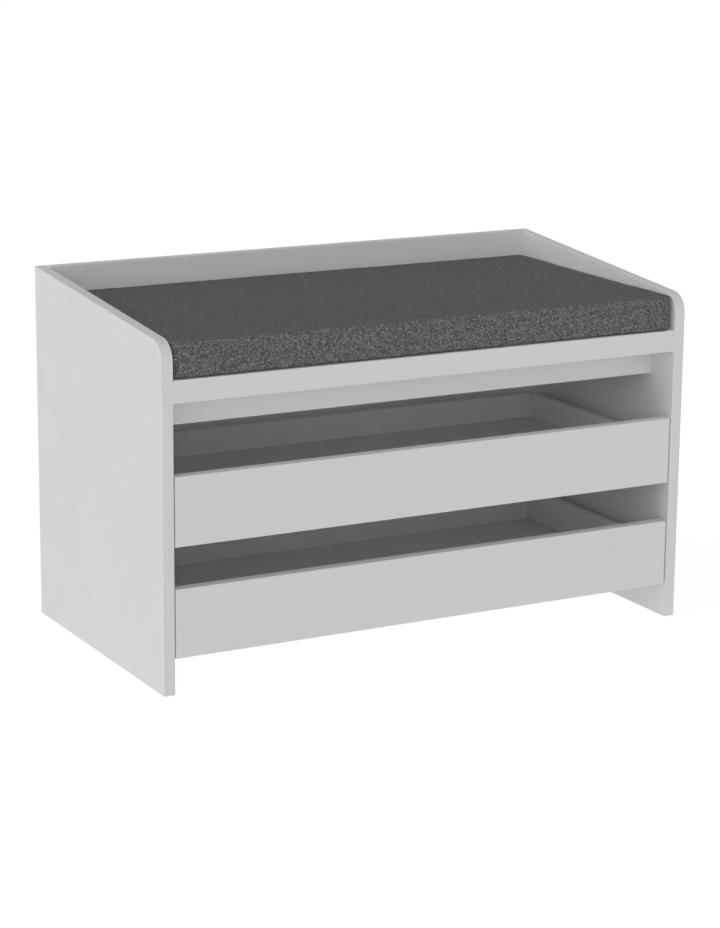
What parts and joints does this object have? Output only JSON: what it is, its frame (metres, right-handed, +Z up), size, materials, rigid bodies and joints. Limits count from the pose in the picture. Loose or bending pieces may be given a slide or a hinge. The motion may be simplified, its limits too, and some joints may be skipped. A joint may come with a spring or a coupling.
{
  "type": "entryway bench",
  "caption": "Low entryway bench with a padded seat, sloping side panels, a low back and shallow pull-out drawers under the seat.",
  "frame": {"origin": "on the floor, under the middle of the bench's box", "axes": "+X to the right seen from the front, -Y out of the front, +Z up"},
  "size_m": [0.8, 0.42, 0.5],
  "materials": {
    "white_board": "satin white melamine",
    "drawer_bottom_sheet": "matte white laminated hardboard",
    "cushion_fabric": "dark grey heather weave",
    "runner_white": "semi-gloss powder coat",
    "roller_nylon": "moulded nylon",
    "plated_steel": "zinc plated",
    "zinc": "raw die cast",
    "beech": "fluted raw beech"
  },
  "bodies": {
    "carcass": {"left_side_panel": "white_board", "right_side_panel": "white_board", "back_panel": "white_board", "seat_board": "white_board", "front_rail": "white_board", "seat_cam_locks": "zinc", "panel_cam_locks": "zinc", "cam_bolts": "plated_steel", "dowels": "beech", "back_panel_screws": "plated_steel", "cabinet_runner_screws": "plated_steel", "cabinet_roller_pins": "plated_steel", "lower_left_cabinet_runner": "runner_white", "lower_right_cabinet_runner": "runner_white", "upper_left_cabinet_runner": "runner_white", "upper_right_cabinet_runner": "runner_white"},
    "cushion": {"seat_cushion": "cushion_fabric"},
    "lower_drawer": {"lower_drawer_front": "white_board", "lower_drawer_left_side": "white_board", "lower_drawer_right_side": "white_board", "lower_drawer_back": "white_board", "lower_drawer_bottom": "drawer_bottom_sheet", "lower_left_drawer_runner": "runner_white", "lower_right_drawer_runner": "runner_white", "lower_drawer_runner_screws": "plated_steel", "lower_drawer_roller_pins": "plated_steel", "lower_drawer_cam_locks": "zinc", "lower_drawer_cam_bolts": "plated_steel", "lower_drawer_dowels": "beech", "lower_drawer_back_screws": "plated_steel"},
    "upper_drawer": {"upper_drawer_front": "white_board", "upper_drawer_left_side": "white_board", "upper_drawer_right_side": "white_board", "upper_drawer_back": "white_board", "upper_drawer_bottom": "drawer_bottom_sheet", "upper_left_drawer_runner": "runner_white", "upper_right_drawer_runner": "runner_white", "upper_drawer_runner_screws": "plated_steel", "upper_drawer_roller_pins": "plated_steel", "upper_drawer_cam_locks": "zinc", "upper_drawer_cam_bolts": "plated_steel", "upper_drawer_dowels": "beech", "upper_drawer_back_screws": "plated_steel"},
    "lower_left_front_roller": {"lower_left_front_roller": "roller_nylon"},
    "lower_left_rear_roller": {"lower_left_rear_roller": "roller_nylon"},
    "lower_right_front_roller": {"lower_right_front_roller": "roller_nylon"},
    "lower_right_rear_roller": {"lower_right_rear_roller": "roller_nylon"},
    "upper_left_front_roller": {"upper_left_front_roller": "roller_nylon"},
    "upper_left_rear_roller": {"upper_left_rear_roller": "roller_nylon"},
    "upper_right_front_roller": {"upper_right_front_roller": "roller_nylon"},
    "upper_right_rear_roller": {"upper_right_rear_roller": "roller_nylon"}
  },
  "joints": [
    {"name": "lower_drawer_slide", "type": "slide", "parent": "carcass", "child": "lower_drawer", "axis": [0, -1, 0], "range_m": [0, 0.22]},
    {"name": "upper_drawer_slide", "type": "slide", "parent": "carcass", "child": "upper_drawer", "axis": [0, -1, 0], "range_m": [0, 0.22]},
    {"name": "cushion_lift", "type": "slide", "parent": "carcass", "child": "cushion", "axis": [0, 0, 1], "range_m": [0, 0.1]},
    {"name": "lower_left_front_roller_spin", "type": "hinge", "parent": "carcass", "child": "lower_left_front_roller", "pos_m": [-0.3787, -0.179, 0.06945], "axis": [1, 0, 0], "range_deg": [0, 1580]},
    {"name": "lower_left_rear_roller_spin", "type": "hinge", "parent": "lower_drawer", "child": "lower_left_rear_roller", "pos_m": [-0.3787, 0.095, 0.06735], "axis": [1, 0, 0], "range_deg": [0, 1580]},
    {"name": "lower_right_front_roller_spin", "type": "hinge", "parent": "carcass", "child": "lower_right_front_roller", "pos_m": [0.3787, -0.179, 0.06945], "axis": [1, 0, 0], "range_deg": [0, 1580]},
    {"name": "lower_right_rear_roller_spin", "type": "hinge", "parent": "lower_drawer", "child": "lower_right_rear_roller", "pos_m": [0.3787, 0.095, 0.06735], "axis": [1, 0, 0], "range_deg": [0, 1580]},
    {"name": "upper_left_front_roller_spin", "type": "hinge", "parent": "carcass", "child": "upper_left_front_roller", "pos_m": [-0.3787, -0.179, 0.22845], "axis": [1, 0, 0], "range_deg": [0, 1580]},
    {"name": "upper_left_rear_roller_spin", "type": "hinge", "parent": "upper_drawer", "child": "upper_left_rear_roller", "pos_m": [-0.3787, 0.095, 0.22635], "axis": [1, 0, 0], "range_deg": [0, 1580]},
    {"name": "upper_right_front_roller_spin", "type": "hinge", "parent": "carcass", "child": "upper_right_front_roller", "pos_m": [0.3787, -0.179, 0.22845], "axis": [1, 0, 0], "range_deg": [0, 1580]},
    {"name": "upper_right_rear_roller_spin", "type": "hinge", "parent": "upper_drawer", "child": "upper_right_rear_roller", "pos_m": [0.3787, 0.095, 0.22635], "axis": [1, 0, 0], "range_deg": [0, 1580]}
  ],
  "couplings": [
    {"joint": "lower_left_front_roller_spin", "follows": "lower_drawer_slide", "rad_per_m": 125},
    {"joint": "lower_left_rear_roller_spin", "follows": "lower_drawer_slide", "rad_per_m": 125},
    {"joint": "lower_right_front_roller_spin", "follows": "lower_drawer_slide", "rad_per_m": 125},
    {"joint": "lower_right_rear_roller_spin", "follows": "lower_drawer_slide", "rad_per_m": 125},
    {"joint": "upper_left_front_roller_spin", "follows": "upper_drawer_slide", "rad_per_m": 125},
    {"joint": "upper_left_rear_roller_spin", "follows": "upper_drawer_slide", "rad_per_m": 125},
    {"joint": "upper_right_front_roller_spin", "follows": "upper_drawer_slide", "rad_per_m": 125},
    {"joint": "upper_right_rear_roller_spin", "follows": "upper_drawer_slide", "rad_per_m": 125}
  ]
}
